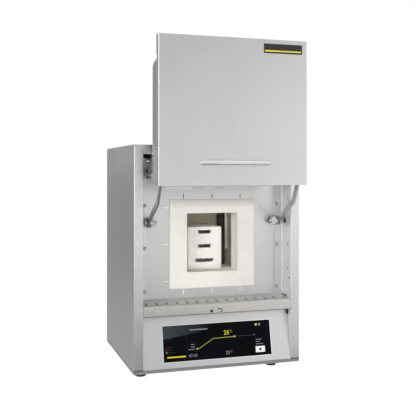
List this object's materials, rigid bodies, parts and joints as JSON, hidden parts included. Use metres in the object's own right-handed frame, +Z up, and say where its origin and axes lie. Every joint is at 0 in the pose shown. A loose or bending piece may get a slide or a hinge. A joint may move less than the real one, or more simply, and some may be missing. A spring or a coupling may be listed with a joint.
{
  "type": "dental lab furnace",
  "caption": "Bench-top sintering furnace with a guided lift door, a sloped control panel and a tray-filled ceramic chamber.",
  "frame": {"origin": "middle of the room that the furnace takes with its door up, on the plane its feet stand on", "axes": "-Y out of the furnace's front, +Z up, +X to the right as seen from the front"},
  "size_m": [0.34, 0.405, 0.655],
  "materials": {
    "housing_steel": "textured stainless sheet",
    "front_steel": "brushed stainless sheet",
    "base_steel": "satin stainless sheet",
    "bright_steel": "bright drawn steel",
    "arm_steel": "satin flat bar",
    "dark_steel": "dark bolts",
    "inner_steel": "mill finish sheet",
    "fibre_board": "ceramic fibre board",
    "chamber_fibre": "fired ceramic fibre",
    "alumina": "fired white ceramic",
    "tube_ceramic": "fired ceramic tube",
    "carbide": "porous silicon carbide",
    "clamp_metal": "braided strap clamp",
    "display_glass": "black display glass",
    "dark_plastic": "moulded plastic",
    "foot_rubber": "black rubber",
    "pin_brass": "plated brass"
  },
  "bodies": {
    "cabinet": {"base_pan": "base_steel", "left_side_panel": "housing_steel", "right_side_panel": "housing_steel", "top_cover": "housing_steel", "rear_panel": "housing_steel", "recess_plate": "front_steel", "sill": "housing_steel", "control_fascia": "front_steel", "controller_unit": "dark_plastic", "touch_glass": "display_glass", "feet": "foot_rubber", "collar": "fibre_board", "front_insulation": "fibre_board", "chamber_floor": "chamber_fibre", "chamber_roof": "chamber_fibre", "chamber_left_wall": "chamber_fibre", "chamber_right_wall": "chamber_fibre", "chamber_rear_wall": "chamber_fibre", "inner_casing": "inner_steel", "casing_stands": "inner_steel", "left_heating_rod": "carbide", "right_heating_rod": "carbide", "rod_clamps": "clamp_metal", "thermocouple": "tube_ceramic", "sagger_bottom": "alumina", "sagger_middle": "alumina", "sagger_top": "alumina", "sagger_lid": "alumina", "exhaust_tube": "alumina", "exhaust_ring": "bright_steel", "pivot_brackets": "bright_steel", "pivot_bolts": "dark_steel", "pivot_nuts": "dark_steel", "recess_screws": "bright_steel", "rear_screws": "bright_steel", "air_guide": "inner_steel", "fan_frame": "dark_plastic", "finger_guard": "bright_steel", "power_inlet": "dark_plastic", "inlet_pins": "pin_brass", "switch_frame": "dark_plastic", "power_module": "dark_plastic"},
    "lower_arms": {"left_lower_arm": "arm_steel", "right_lower_arm": "arm_steel"},
    "upper_arms": {"left_upper_arm": "arm_steel", "right_upper_arm": "arm_steel"},
    "door": {"door_panel": "front_steel", "left_door_plate": "front_steel", "right_door_plate": "front_steel", "door_pins": "dark_steel", "pin_clips": "dark_steel", "door_screws": "dark_steel", "door_tray": "inner_steel", "door_insulation": "fibre_board", "handle": "bright_steel"},
    "port_flap": {"port_flap": "dark_plastic"},
    "air_knob": {"air_knob": "dark_plastic"},
    "fan_rotor": {"fan_rotor": "dark_plastic"},
    "switch_rocker": {"switch_rocker": "dark_plastic"}
  },
  "joints": [
    {"name": "door_lift", "type": "hinge", "parent": "cabinet", "child": "lower_arms", "pos_m": [0, -0.0685, 0.3075], "axis": [1, 0, 0], "range_deg": [0, 118.7]},
    {"name": "upper_arm_swing", "type": "hinge", "parent": "cabinet", "child": "upper_arms", "pos_m": [0, -0.0685, 0.4025], "axis": [1, 0, 0], "range_deg": [0, 118.7]},
    {"name": "door_level", "type": "hinge", "parent": "lower_arms", "child": "door", "pos_m": [0, -0.17498, 0.39371], "axis": [1, 0, 0], "range_deg": [-118.7, 0]},
    {"name": "port_flap_open", "type": "hinge", "parent": "cabinet", "child": "port_flap", "pos_m": [-0.1048, -0.08753, 0.09173], "axis": [0, -0.2011, -0.9796], "range_deg": [0, 95]},
    {"name": "air_damper", "type": "slide", "parent": "cabinet", "child": "air_knob", "axis": [0, -1, 0], "range_m": [0, 0.012]},
    {"name": "fan_spin", "type": "hinge", "parent": "cabinet", "child": "fan_rotor", "pos_m": [0, 0.1845, 0.089], "axis": [0, 1, 0], "continuous": true},
    {"name": "switch_rock", "type": "hinge", "parent": "cabinet", "child": "switch_rocker", "pos_m": [0.0947, 0.1955, 0.089], "axis": [1, 0, 0], "range_deg": [0, 12]}
  ],
  "couplings": [
    {"joint": "upper_arm_swing", "follows": "door_lift", "ratio": 1},
    {"joint": "door_level", "follows": "door_lift", "ratio": -1}
  ]
}
